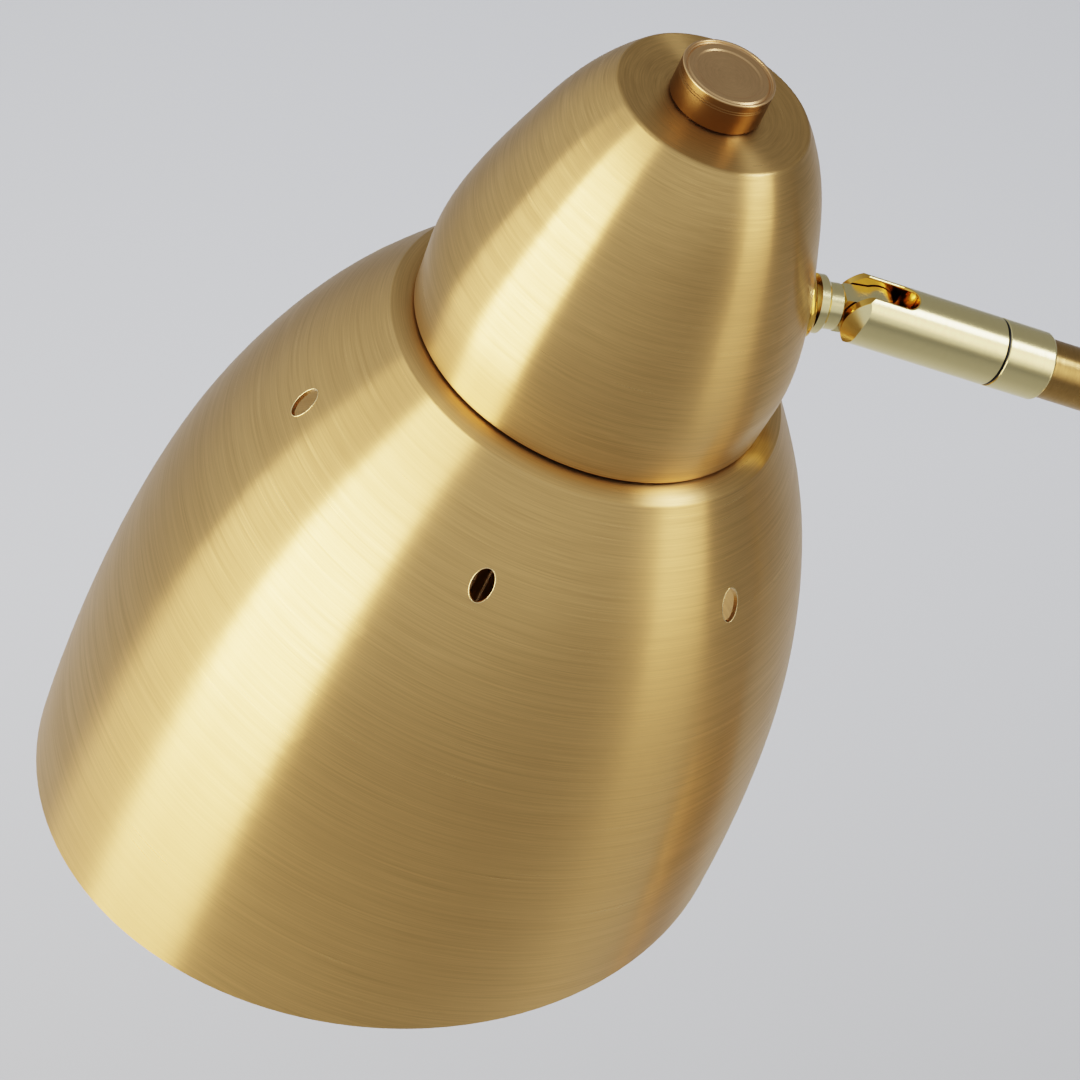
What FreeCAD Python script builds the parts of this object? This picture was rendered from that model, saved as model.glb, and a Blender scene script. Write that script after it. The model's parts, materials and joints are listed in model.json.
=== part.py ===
"""Swing arm desk lamp: weighted round base, column, one swinging arm and a hinged two-piece brass shade.

Millimetres, +Z up. The origin is the centre of the base's underside. The column stands on +Z and the
arm reaches out over -X. Each part is drawn with the arm level and the shade upright, then turned to the
rest pose.
"""
import FreeCAD, Part
import math
import os

# ---- rest pose, degrees ----
ARM_LIFT = 28.0          # the arm rises from the column to the head
HEAD_ROLL = 9.4          # the head fork is turned about the arm
HEAD_TILT = -8.9         # the head is tilted in its fork

# ---- overall layout ----
LIFT_PIVOT_HEIGHT = 330.0
ARM_LENGTH = 300.0       # lift pin to tilt pin
SHADE_OFFSET = 55.0      # tilt pin to the shade's axis
KNOB_TOP_HEIGHT = 56.0   # knob's top face above the tilt pin, measured along the shade's axis

# ---- fits ----
RUNNING = 0.05           # radial clearance of a shaft in its bore
FACE_GAP = 0.3           # between faces that slide past each other
SEAM_GAP = 0.1           # between faces that turn flat against each other
NUT_CHAMFER = 0.6

# ---- base ----
BASE_RADIUS = 95.0
BASE_TOP = 22.2
COVER_WALL = 1.2
FELT_TOP = 2.0
PLATE_TOP = 3.0
WEIGHT_TOP = BASE_TOP - COVER_WALL
WEIGHT_RADIUS = 88.0
FELT_RADIUS = 90.0
NIPPLE_RADIUS = 5.0
NUT_POCKET_RADIUS = 14.0
NUT_POCKET_TOP = 12.0
GROMMET_HEIGHT = 10.5
GROMMET_BORE = 3.2
GROMMET_NECK = 4.6
BASE_SCREW_CIRCLE = 70.0
BASE_SCREW_COUNT = 3
SCREW_RADIUS = 2.0
SCREW_HEAD = 2.2
SCREW_LENGTH = 10.0
LEAD_CHANNEL = 9.0       # width of the channel under the weight
LEAD_CHANNEL_TOP = 14.5
GROMMET_FLANGE = 6.0
GROMMET_LIP = 2.0        # how far the grommet stands out of the cover
NIPPLE_BORE = 3.5

# ---- column ----
COLUMN_RADIUS = 8.0
COLUMN_BORE = 6.8
COLUMN_FOOT = 34.0
COLUMN_TOP = 303.5
BUSH_TOP = 307.5
SWING_WASHER = 0.4
BUSH_FOOT = 290.0
SPIGOT_RADIUS = 5.0
SPIGOT_FOOT = 285.0
CLIP_GROOVE = (288.4, 289.5)
CLIP_GROOVE_RADIUS = 4.2
FLANGE_RADIUS = 21.0

# ---- lift joint ----
YOKE_RADIUS = 9.0
YOKE_BOTTOM = BUSH_TOP + SWING_WASHER + SEAM_GAP
YOKE_SLOT = 7.0
YOKE_SLOT_FLOOR = 318.0
YOKE_CHEEK = 7.8         # half width over the flats
LIFT_PIN_RADIUS = 3.0
LIFT_HEAD_RADIUS = 6.0
LIFT_WASHER = 0.6
YOKE_BORE = 3.0

# ---- arm ----
TUBE_RADIUS = 6.5
TUBE_BORE = 5.5
BARREL_RADIUS = 7.5      # knuckle, collar and head fork
KNUCKLE_SHOULDER = 14.0
KNUCKLE_LENGTH = 30.0

# ---- head fork, measured from the tilt pin towards the column ----
FORK_SLOT = 6.0
FORK_SLOT_END = 7.6
FORK_END = 30.0
EAR_BEVEL = 2.9          # bevel round the ears' outer edges
SLOT_EDGE = 0.5          # rounding along the slot's upper and lower edges
PIN_HEAD_RADIUS = 4.0
TILT_PIN_RADIUS = 2.5
SEAM_WASHER = 0.4
COLLAR_START = FORK_END + SEAM_GAP + SEAM_WASHER
COLLAR_END = COLLAR_START + 12.0
COLLAR_LEDGE = COLLAR_START + 3.5
TUBE_START = COLLAR_START + 5.5
SPINDLE_RADIUS = 4.0
SPINDLE_BORE = 2.6
SPINDLE_DEPTH = 8.0      # how far the spindle screws into the fork

# ---- hinge stub on the cap's wall, measured from the tilt pin towards the shade's axis ----
STUB_SHOULDER = 8.0
NECK_RADIUS = 5.0
BOSS_RADIUS = 6.3
BOSS_START = 11.6
SADDLE_START = 14.0
SADDLE_RADIUS = 8.0
SADDLE_LEAN = 9.4        # lean of the cap's wall at the stud, degrees
SADDLE_REACH = 16.0      # tilt pin to the cap's wall
STUD_RADIUS = 4.0
STUD_END = 27.5
BRACKET_START = 20.2     # tilt pin to the bracket's outer face
BRACKET_SHEET = 1.5
BRACKET_HALF_WIDTH = 5.5

# ---- head, depths below the knob's top face along the shade's axis ----
SHEET = 0.9              # wall of the spun cap and shade
KNOB_RADIUS = 10.0
KNOB_DEPTH = 8.0
KNOB_GROOVES = (1.8, 2.4)
KNOB_GROOVE_DEPTH = 0.1
KNOB_HOLLOW = 8.4
KNOB_HUB = 5.4
SHAFT_TOP = 2.5
CAP_TOP = 8.4
CAP_EDGE = 1.2           # radius of the cap's top edge
CAP_FLAT = 20.2          # radius of the cap's flat top
CAP_EDGE_TURN = 52.0     # degrees that the edge turns through
CAP_SIDE = [(28.9, 22.0), (33.8, 36.0), (37.9, 50.0), (40.3, 64.5), (39.5, 78.0)]
SHADE_SEAT = 84.0        # top of the flat ring that the lamp holder clamps
SHADE_SEAT_RADIUS = 26.0
SHADE_HOLE = 20.5
SHOULDER_RADIUS = 39.0   # where the shoulder is highest, just under the cap's rim
SHOULDER_DEPTH = 79.15
SHOULDER_BEND = 7.3      # radius of the shoulder's round
SHOULDER_START = 113.0   # directions of the round's ends, degrees from level
SHOULDER_END = 51.0
CREASE_BEND = 1.2        # tighter round where the shoulder turns into the side
CREASE_END = 33.0
SHADE_SIDE = [(55.5, 100.0), (65.2, 123.0), (71.3, 147.0), (74.1, 170.0), (75.1, 193.0), (74.8, 217.0),
              (73.4, 240.0)]
RIM_DEPTH = 213.0        # depth of the oblique rim at the shade's axis
RIM_RISE = 19.0          # how much deeper the rim is on the side away from the arm
RIM_RADIUS = 74.5
VENT_COUNT = 6
VENT_DEPTH = 102.1
VENT_RADIUS = 56.6
VENT_WIDTH = 4.6
VENT_HEIGHT = 7.6
VENT_START = 185.6       # direction of the first vent, degrees from +X
VENT_LEAN = 25.0         # the wall's lean at the vents
HOLDER_RADIUS = 20.0
HOLDER_TOP = 46.0
HOLDER_MOUTH = 108.0
FLANGE_REACH = 24.0      # radius of the holder's flange over the shade
THREAD_PITCH = 2.5
CORE_TOP = 64.0
CORE_FLOOR = 68.0
SCREW_TOP = 72.0
BULB_JOINT = -103.0      # height where the glass meets the screw base
BULB_CENTRE = 151.0
BULB_RADIUS = 30.0
BULB_GLASS = 0.8
BULB_NECK = 13.0         # radius of the neck where it leaves the base
BULB_NECK_TURN = 38.0    # degrees above level where the round globe becomes the neck
STRIP_COUNT = 4
STRIP_LENGTH = 30.0
SWITCH_TOP = 13.0
SWITCH_BOTTOM = 27.0
SWITCH_RADIUS = 12.0
SWITCH_BUSH_RADIUS = 5.0
SHAFT_RADIUS = 3.0

LIFT_PIVOT = FreeCAD.Vector(0, 0, LIFT_PIVOT_HEIGHT)
TILT_PIVOT = FreeCAD.Vector(-ARM_LENGTH, 0, LIFT_PIVOT_HEIGHT)
SHADE_TOP = FreeCAD.Vector(-ARM_LENGTH - SHADE_OFFSET, 0, LIFT_PIVOT_HEIGHT + KNOB_TOP_HEIGHT)
X_AXIS = FreeCAD.Vector(1, 0, 0)
Y_AXIS = FreeCAD.Vector(0, 1, 0)
Z_AXIS = FreeCAD.Vector(0, 0, 1)
ORIGIN = FreeCAD.Vector(0, 0, 0)


# ---------------------------------------------------------------- drawing helpers
def flat_point(pair):
    """A point of an outline: its radius along X and its height along Z."""
    return FreeCAD.Vector(pair[0], 0, pair[1])


def smooth(points, start_slope):
    """A smooth edge through the points, leaving the first one along start_slope."""
    curve = Part.BSplineCurve()
    places = [flat_point(p) for p in points]
    finish = (places[-1] - places[-2]).normalize()
    curve.interpolate(Points=places, InitialTangent=flat_point(start_slope), FinalTangent=finish)
    return curve.toShape()


def edges_of(outline):
    """Edges of an outline. A step is the next corner (x, z), or (middle, end) of an arc."""
    edges = []
    here = outline[0]
    for step in outline[1:]:
        if isinstance(step[0], tuple):
            middle, end = step
            edges.append(Part.Arc(flat_point(here), flat_point(middle), flat_point(end)).toShape())
        else:
            end = step
            edges.append(Part.LineSegment(flat_point(here), flat_point(end)).toShape())
        here = end
    return edges


def spun(edges):
    """The solid swept by a closed outline about the Z axis."""
    face = Part.Face(Part.Wire(edges))
    return face.revolve(ORIGIN, Z_AXIS, 360)


def turned(outline):
    """A solid turned about the Z axis from the corners of its outline."""
    return spun(edges_of(outline + [outline[0]]))


def ring(inner, outer, low, high):
    """A plain ring or, with no inner radius, a disc about the Z axis."""
    solid = Part.makeCylinder(outer, high - low, FreeCAD.Vector(0, 0, low))
    if inner > 0:
        solid = solid.cut(Part.makeCylinder(inner, high - low, FreeCAD.Vector(0, 0, low)))
    return solid


def block(low, high):
    """A box between two corners."""
    return Part.makeBox(high[0] - low[0], high[1] - low[1], high[2] - low[2], FreeCAD.Vector(*low))


def hexagon(across_flats, low, high, hole):
    """A hexagon nut about the Z axis with a plain hole."""
    reach = across_flats / 2 / math.cos(math.radians(30))
    corners = []
    for i in range(7):
        turn = math.radians(60 * i)
        corners.append(FreeCAD.Vector(reach * math.cos(turn), reach * math.sin(turn), low))
    solid = Part.Face(Part.makePolygon(corners)).extrude(FreeCAD.Vector(0, 0, high - low))
    cut = NUT_CHAMFER
    chamfered = turned([(0, low), (reach - cut, low), (reach, low + cut), (reach, high - cut),
                        (reach - cut, high), (0, high)])
    return solid.common(chamfered).cut(ring(0, hole, low - 1, high + 1))


def bend(centre, radius, start, finish):
    """Start, middle and end of an arc about centre, between two directions in degrees."""
    def at(angle):
        turn = math.radians(angle)
        return (centre[0] + radius * math.cos(turn), centre[1] + radius * math.sin(turn))
    return at(start), at((start + finish) / 2), at(finish)


def inward(points, start_slope, distance):
    """The points of a wall's outer curve moved square to it, towards the axis."""
    curve = smooth(points, start_slope).Curve
    moved = []
    for pair in points:
        along = curve.tangent(curve.parameter(flat_point(pair)))[0]
        moved.append((pair[0] + along.z * distance, pair[1] - along.x * distance))
    return moved


def along_arm(shape, pivot):
    """Turns a part drawn along +Z so that it lies along +X, and puts its origin at pivot."""
    shape.rotate(ORIGIN, Y_AXIS, 90)
    shape.translate(pivot)
    return shape


def across_arm(shape, pivot):
    """Turns a part drawn along +Z so that it lies along +Y, and puts its origin at pivot."""
    shape.rotate(ORIGIN, X_AXIS, -90)
    shape.translate(pivot)
    return shape


def below_top(shape):
    """Puts a head part, drawn with heights that are minus its depths, under the knob's top face."""
    shape.translate(SHADE_TOP)
    return shape


# ---------------------------------------------------------------- base
def felt_pad():
    return ring(0, FELT_RADIUS, 0, FELT_TOP)


def base_plate():
    plate = ring(0, FELT_RADIUS + 2, FELT_TOP, PLATE_TOP)
    for screw in base_screw_places():
        plate = plate.cut(Part.makeCylinder(SCREW_HEAD, 5, screw))
    return plate


def base_screw_places():
    """Where each base screw meets the plate's underside."""
    places = []
    for i in range(BASE_SCREW_COUNT):
        turn = math.radians(30 + 360 / BASE_SCREW_COUNT * i)
        x = BASE_SCREW_CIRCLE * math.cos(turn)
        y = BASE_SCREW_CIRCLE * math.sin(turn)
        places.append(FreeCAD.Vector(x, y, FELT_TOP))
    return places


def base_screws():
    """Countersunk screws that hold the plate to the weight."""
    screws = []
    for place in base_screw_places():
        screw = turned([(0, 0), (SCREW_HEAD, 0), (SCREW_HEAD, 1.0), (SCREW_RADIUS, 1.0),
                        (SCREW_RADIUS, SCREW_LENGTH), (0, SCREW_LENGTH)])
        screw.translate(place)
        screws.append(screw)
    return Part.makeCompound(screws)


def base_weight():
    """Cast disc with a pocket for the lock nut, and a channel for the lead under it."""
    weight = turned([(0, PLATE_TOP), (WEIGHT_RADIUS, PLATE_TOP), (WEIGHT_RADIUS, WEIGHT_TOP - 5),
                     (WEIGHT_RADIUS - 4, WEIGHT_TOP), (0, WEIGHT_TOP)])
    weight = weight.cut(ring(0, NUT_POCKET_RADIUS, PLATE_TOP, NUT_POCKET_TOP))
    weight = weight.cut(ring(0, NIPPLE_RADIUS, NUT_POCKET_TOP, WEIGHT_TOP))
    half = LEAD_CHANNEL / 2
    weight = weight.cut(block((-half, 0, PLATE_TOP), (half, WEIGHT_RADIUS + 1, LEAD_CHANNEL_TOP)))
    for place in base_screw_places():
        weight = weight.cut(Part.makeCylinder(SCREW_RADIUS, SCREW_LENGTH + 1, place))
    return weight


def base_cover():
    """Spun brass cover with a rounded edge and a flat top."""
    low = FELT_TOP
    edge = 5.0
    outer = BASE_RADIUS
    inner = BASE_RADIUS - COVER_WALL
    centre = (outer - edge, BASE_TOP - edge)
    out_start, out_middle, out_end = bend(centre, edge, 0, 90)
    in_start, in_middle, in_end = bend(centre, edge - COVER_WALL, 90, 0)
    cover = turned([(outer, low), out_start, (out_middle, out_end), (NIPPLE_RADIUS, BASE_TOP),
                    (NIPPLE_RADIUS, WEIGHT_TOP), in_start, (in_middle, in_end), (inner, low)])
    hole = across_arm(ring(0, GROMMET_NECK, outer - 5, outer + 5), FreeCAD.Vector(0, 0, GROMMET_HEIGHT))
    return cover.cut(hole)


def cable_grommet():
    """Rubber ring in the rear of the cover, where the lead would enter."""
    wall_in = BASE_RADIUS - COVER_WALL - 0.2
    wall_out = BASE_RADIUS
    flange = GROMMET_FLANGE
    lip = wall_out + GROMMET_LIP
    body = turned([(GROMMET_BORE, wall_in - 2), (flange, wall_in - 2), (flange, wall_in),
                   (GROMMET_NECK, wall_in), (GROMMET_NECK, wall_out), (flange, wall_out),
                   ((flange - 0.4, lip - 0.6), (GROMMET_NECK, lip)), (GROMMET_BORE, lip)])
    return across_arm(body, FreeCAD.Vector(0, 0, GROMMET_HEIGHT))


def weight_washer():
    return ring(NIPPLE_RADIUS, 11.0, NUT_POCKET_TOP - 1.5, NUT_POCKET_TOP)


def weight_nut():
    return hexagon(17.0, NUT_POCKET_TOP - 6.0, NUT_POCKET_TOP - 1.5, NIPPLE_RADIUS)


def column_nipple():
    """Hollow threaded rod that ties the weight, cover and flange together."""
    return ring(NIPPLE_BORE, NIPPLE_RADIUS, NUT_POCKET_TOP - 7.0, COLUMN_FOOT + 8)


# ---------------------------------------------------------------- column
def column_flange():
    """Turned foot that sweeps up from the cover to the column."""
    top = COLUMN_FOOT + 4
    return turned([(NIPPLE_RADIUS, BASE_TOP), (FLANGE_RADIUS, BASE_TOP), (FLANGE_RADIUS, BASE_TOP + 2.0),
                   ((13.2, BASE_TOP + 4.6), (COLUMN_RADIUS + 1.4, top)), (COLUMN_RADIUS, top),
                   (COLUMN_RADIUS, COLUMN_FOOT), (NIPPLE_RADIUS, COLUMN_FOOT)])


def column_tube():
    return ring(COLUMN_BORE, COLUMN_RADIUS, COLUMN_FOOT, COLUMN_TOP)


def column_plug():
    """Threaded plug in the tube's foot that the nipple screws into."""
    return ring(NIPPLE_RADIUS, COLUMN_BORE, COLUMN_FOOT, COLUMN_FOOT + 14)


def column_bush():
    """Bearing for the yoke's spigot, with a collar over the tube's end."""
    bore = SPIGOT_RADIUS + RUNNING
    return turned([(bore, BUSH_FOOT), (COLUMN_BORE, BUSH_FOOT), (COLUMN_BORE, COLUMN_TOP),
                   (YOKE_RADIUS - 0.6, COLUMN_TOP), (YOKE_RADIUS, COLUMN_TOP + 0.6), (YOKE_RADIUS, BUSH_TOP),
                   (bore, BUSH_TOP)])


def swing_washer():
    return ring(SPIGOT_RADIUS + RUNNING, YOKE_RADIUS - 0.2, BUSH_TOP, BUSH_TOP + SWING_WASHER)


# ---------------------------------------------------------------- yoke
def column_yoke():
    """Upright fork on a spigot. It swings about the column and holds the arm's tongue."""
    low, high = CLIP_GROOVE
    top = LIFT_PIVOT_HEIGHT + 15
    body = turned([(YOKE_BORE, SPIGOT_FOOT), (SPIGOT_RADIUS, SPIGOT_FOOT), (SPIGOT_RADIUS, low),
                   (CLIP_GROOVE_RADIUS, low), (CLIP_GROOVE_RADIUS, high), (SPIGOT_RADIUS, high),
                   (SPIGOT_RADIUS, YOKE_BOTTOM), (YOKE_RADIUS, YOKE_BOTTOM), (YOKE_RADIUS, top),
                   (YOKE_BORE, top)])
    nose = across_arm(ring(0, YOKE_RADIUS, -12, 12), LIFT_PIVOT)
    envelope = nose.fuse(block((-12, -12, SPIGOT_FOOT), (12, 12, LIFT_PIVOT_HEIGHT)))
    body = body.common(envelope)
    body = body.cut(block((-12, -YOKE_SLOT / 2, YOKE_SLOT_FLOOR), (12, YOKE_SLOT / 2, top)))
    cheek = block((-12, YOKE_CHEEK, YOKE_SLOT_FLOOR + 2), (12, 12, top))
    body = body.cut(cheek).cut(cheek.mirror(ORIGIN, Y_AXIS))
    return body.cut(across_arm(ring(0, LIFT_PIN_RADIUS, -12, 12), LIFT_PIVOT))


def spigot_clip():
    """Spring clip that keeps the yoke's spigot in the bush, open on one side."""
    low, high = CLIP_GROOVE
    clip = ring(CLIP_GROOVE_RADIUS, 6.2, low + 0.1, high - 0.1)
    return clip.cut(block((0, -2.6, low), (8, 2.6, high)))


def lift_pin():
    """Shoulder screw through the yoke with a low domed head."""
    head = YOKE_CHEEK + LIFT_WASHER
    pin = turned([(0, -head - 3.0), ((3.4, -head - 2.6), (LIFT_HEAD_RADIUS, -head - 1.2)),
                  (LIFT_HEAD_RADIUS, -head), (LIFT_PIN_RADIUS, -head), (LIFT_PIN_RADIUS, head + 6.0),
                  (0, head + 6.0)])
    pin = pin.cut(block((-0.6, -8, -head - 4), (0.6, 8, -head - 1.8)))
    return across_arm(pin, LIFT_PIVOT)


def lift_nut():
    """Domed nut on the lift pin."""
    low = YOKE_CHEEK + LIFT_WASHER
    skirt = hexagon(11.0, low, low + 4.5, LIFT_PIN_RADIUS)
    dome = turned([(LIFT_PIN_RADIUS, low + 4.5), (5.2, low + 4.5), ((3.9, low + 7.6), (0, low + 9.0)),
                   (0, low + 6.0), (LIFT_PIN_RADIUS, low + 6.0)])
    return across_arm(skirt.fuse(dome), LIFT_PIVOT)


def lift_washers():
    """Washers under the pin's head and under the nut."""
    washers = [ring(LIFT_PIN_RADIUS, LIFT_HEAD_RADIUS + 0.6, low, low + LIFT_WASHER)
               for low in (-YOKE_CHEEK - LIFT_WASHER, YOKE_CHEEK)]
    return across_arm(Part.makeCompound(washers), LIFT_PIVOT)


# ---------------------------------------------------------------- arm
def arm_knuckle():
    """Tongue that turns in the yoke, with a shoulder and a plug in the arm tube."""
    tongue_radius = 7.4
    thickness = YOKE_SLOT - 2 * FACE_GAP
    body = turned([(0, KNUCKLE_SHOULDER - 2.5), (tongue_radius - 2.0, KNUCKLE_SHOULDER - 2.5),
                   (BARREL_RADIUS, KNUCKLE_SHOULDER - 0.3), (BARREL_RADIUS, KNUCKLE_LENGTH - 0.8),
                   (BARREL_RADIUS - 0.8, KNUCKLE_LENGTH), (TUBE_BORE, KNUCKLE_LENGTH),
                   (TUBE_BORE, KNUCKLE_LENGTH + 12), (0, KNUCKLE_LENGTH + 12)])
    body.rotate(ORIGIN, Y_AXIS, -90)
    tongue = ring(0, tongue_radius, -thickness / 2, thickness / 2)
    tongue = tongue.fuse(block((-KNUCKLE_SHOULDER, -tongue_radius + 1.2, -thickness / 2),
                               (0, tongue_radius - 1.2, thickness / 2)))
    tongue.rotate(ORIGIN, X_AXIS, 90)
    body = body.fuse(tongue)
    body = body.cut(across_arm(ring(0, LIFT_PIN_RADIUS + RUNNING, -12, 12), ORIGIN))
    body.translate(LIFT_PIVOT)
    return body


def arm_tube():
    return along_arm(ring(TUBE_BORE, TUBE_RADIUS, TUBE_START, ARM_LENGTH - KNUCKLE_LENGTH), TILT_PIVOT)


def arm_collar():
    """Collar on the arm's end. Its ledge is held by the spindle's nut."""
    edge = 0.8
    far = bend((BARREL_RADIUS - edge, COLLAR_END - edge), edge, 0, 90)
    near = COLLAR_START + 0.2
    collar = turned([(SPINDLE_RADIUS + RUNNING, COLLAR_START), (BARREL_RADIUS - 0.2, COLLAR_START),
                     (BARREL_RADIUS, near), far[0], (far[1], far[2]), (TUBE_RADIUS, COLLAR_END),
                     (TUBE_RADIUS, TUBE_START), (TUBE_BORE, TUBE_START), (TUBE_BORE, COLLAR_LEDGE),
                     (SPINDLE_RADIUS + RUNNING, COLLAR_LEDGE)])
    return along_arm(collar, TILT_PIVOT)


def seam_washer():
    """Black washer between the head fork and the collar."""
    washer = ring(SPINDLE_RADIUS + RUNNING, BARREL_RADIUS - 0.15, COLLAR_START - SEAM_WASHER, COLLAR_START)
    return along_arm(washer, TILT_PIVOT)


# ---------------------------------------------------------------- head fork
def head_fork():
    """Barrel with a vertical slot, rounded about the tilt pin and bevelled round its ears."""
    edge = 0.25
    body = turned([(0, -BARREL_RADIUS), (BARREL_RADIUS, -BARREL_RADIUS), (BARREL_RADIUS, FORK_END - edge),
                   (BARREL_RADIUS - edge, FORK_END), (SPINDLE_RADIUS, FORK_END),
                   (SPINDLE_RADIUS, FORK_END - SPINDLE_DEPTH), (SPINDLE_BORE, FORK_END - SPINDLE_DEPTH),
                   (SPINDLE_BORE, 0), (0, 0)])
    body = along_arm(body, ORIGIN)
    nose = across_arm(ring(0, BARREL_RADIUS, -9, 9), ORIGIN)
    body = body.common(nose.fuse(block((0, -9, -9), (FORK_END, 9, 9))))
    slot_half = FORK_SLOT / 2
    slot = block((-9, -slot_half, -9), (FORK_SLOT_END - slot_half, slot_half, 9))
    slot = slot.fuse(Part.makeCylinder(slot_half, 18, FreeCAD.Vector(FORK_SLOT_END - slot_half, 0, -9)))
    body = body.cut(slot)
    body = body.makeFillet(SLOT_EDGE, slot_edges(body))
    inner = BARREL_RADIUS - EAR_BEVEL
    beyond = BARREL_RADIUS + 1
    bevel = turned([(BARREL_RADIUS, inner), (beyond, inner), (beyond, beyond), (inner - 1, beyond)])
    bevel = across_arm(bevel, ORIGIN).common(block((-12, -12, -12), (0, 12, 12)))
    body = body.cut(bevel).cut(bevel.mirror(ORIGIN, Y_AXIS))
    body = body.cut(across_arm(ring(0, TILT_PIN_RADIUS, -5.4, 9), ORIGIN))
    body = body.cut(across_arm(ring(0, PIN_HEAD_RADIUS, 5.8, 9), ORIGIN))
    body.translate(TILT_PIVOT)
    return body


def slot_edges(body):
    """The edges where the slot runs out through the barrel's top and bottom."""
    found = []
    for edge in body.Edges:
        middle = edge.valueAt((edge.FirstParameter + edge.LastParameter) / 2)
        on_barrel = abs(math.hypot(middle.y, middle.z) - BARREL_RADIUS) < 0.02
        if on_barrel and abs(middle.y) < FORK_SLOT / 2 + 0.02 and 0 < middle.x < FORK_SLOT_END + 0.1:
            found.append(edge)
    return found


def tilt_pin():
    """Pin screw, blind on the front of the fork, with a slotted head sunk in the rear."""
    head = PIN_HEAD_RADIUS
    pin = turned([(0, -5.2), (TILT_PIN_RADIUS, -5.2), (TILT_PIN_RADIUS, 5.8), (head, 5.8), (head, 6.6),
                  (head - 0.4, 7.0), (0, 7.0)])
    pin = pin.cut(block((-0.45, -6, 6.2), (0.45, 6, 8)))
    return across_arm(pin, TILT_PIVOT)


def roll_spindle():
    """Hollow threaded spindle that joins the fork to the collar and lets it turn."""
    spindle = ring(SPINDLE_BORE, SPINDLE_RADIUS, FORK_END - SPINDLE_DEPTH, COLLAR_LEDGE + 5.0)
    return along_arm(spindle, TILT_PIVOT)


def roll_washer():
    start = COLLAR_LEDGE + SEAM_GAP
    return along_arm(ring(SPINDLE_RADIUS, 5.2, start, start + 0.6), TILT_PIVOT)


def roll_nut():
    start = COLLAR_LEDGE + SEAM_GAP + 0.6
    return along_arm(hexagon(9.0, start, start + 3.4, SPINDLE_RADIUS), TILT_PIVOT)


# ---------------------------------------------------------------- hinge stub and its fixing
def hinge_stub():
    """Tongue, neck, boss and threaded stud in one turned piece."""
    body = turned([(0, STUB_SHOULDER), (NECK_RADIUS - 0.5, STUB_SHOULDER),
                   (NECK_RADIUS, STUB_SHOULDER + 0.5), (NECK_RADIUS, BOSS_START),
                   (BOSS_RADIUS - 0.6, BOSS_START), (BOSS_RADIUS, BOSS_START + 0.6),
                   (BOSS_RADIUS, SADDLE_START), (STUD_RADIUS, SADDLE_START), (STUD_RADIUS, STUD_END - 0.6),
                   (STUD_RADIUS - 0.6, STUD_END), (0, STUD_END)])
    body.rotate(ORIGIN, Y_AXIS, -90)
    thickness = FORK_SLOT - 2 * FACE_GAP
    tongue = ring(0, NECK_RADIUS, -thickness / 2, thickness / 2)
    tongue = tongue.fuse(block((-STUB_SHOULDER, -NECK_RADIUS + 0.5, -thickness / 2),
                               (0, NECK_RADIUS - 0.5, thickness / 2)))
    tongue.rotate(ORIGIN, X_AXIS, 90)
    body = body.fuse(tongue)
    body = body.cut(across_arm(ring(0, TILT_PIN_RADIUS + RUNNING, -9, 9), ORIGIN))
    body.translate(TILT_PIVOT)
    return body


def saddle_washer():
    """Polished cup washer that seats the boss on the cap's curved wall, square to the wall."""
    face = -SADDLE_START - 0.4
    rim = SADDLE_RADIUS
    body = turned([(0, face), (BOSS_RADIUS, face), ((rim - 0.6, face - 0.5), (rim, face - 1.6)),
                   (rim - 0.3, face - 6.0), (0, face - 6.0)])
    body = along_arm(body, ORIGIN)
    body.rotate(FreeCAD.Vector(-SADDLE_REACH, 0, 0), Y_AXIS, -SADDLE_LEAN)
    for radius, low, high in ((BOSS_RADIUS + RUNNING, -SADDLE_START, 0), (STUD_RADIUS, -STUD_END, 0)):
        body = body.cut(along_arm(ring(0, radius, low, high), ORIGIN))
    body.translate(TILT_PIVOT)
    return body.cut(cap_solid())


def inner_saddle():
    """Packing piece between the cap's wall and the bracket."""
    body = ring(STUD_RADIUS, 6.5, -BRACKET_START, -SADDLE_START)
    body = along_arm(body, TILT_PIVOT)
    return body.common(cap_hollow())


def stud_nut():
    low = -BRACKET_START - BRACKET_SHEET - 4.5
    return along_arm(hexagon(13.0, low, low + 4.5, STUD_RADIUS), TILT_PIVOT)


def holder_bracket():
    """Steel angle from the stud to the top of the lamp holder."""
    leg_out = SHADE_OFFSET - BRACKET_START
    leg_in = leg_out - BRACKET_SHEET
    half = BRACKET_HALF_WIDTH
    shelf = block((-12, -half, -HOLDER_TOP), (leg_out, half, -HOLDER_TOP + BRACKET_SHEET))
    shelf = shelf.fuse(ring(0, 9.0, -HOLDER_TOP, -HOLDER_TOP + BRACKET_SHEET))
    leg = block((leg_in, -half, -KNOB_TOP_HEIGHT - 9), (leg_out, half, -HOLDER_TOP))
    body = shelf.fuse(leg)
    body = body.cut(ring(0, NIPPLE_RADIUS, -HOLDER_TOP - 1, -HOLDER_TOP + 3))
    stud_hole = ring(0, STUD_RADIUS, 30, 40)
    stud_hole.rotate(ORIGIN, Y_AXIS, 90)
    stud_hole.translate(FreeCAD.Vector(0, 0, -KNOB_TOP_HEIGHT))
    return below_top(body.cut(stud_hole))


# ---------------------------------------------------------------- cap
def cap_outline(distance):
    """The cap's outer curve, or one inside it by distance: its top edge, then the points of its side."""
    centre = (CAP_FLAT, -CAP_TOP - CAP_EDGE)
    start, middle, end = bend(centre, CAP_EDGE, 90, 90 - CAP_EDGE_TURN)
    turn = math.radians(CAP_EDGE_TURN)
    slope = (math.cos(turn), -math.sin(turn))
    side = [end] + [(r, -h) for r, h in CAP_SIDE]
    if distance > 0:
        start, middle, end = bend(centre, CAP_EDGE - distance, 90, 90 - CAP_EDGE_TURN)
        side = inward(side, slope, distance)
        side[0] = end
    return start, middle, side, slope


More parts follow.
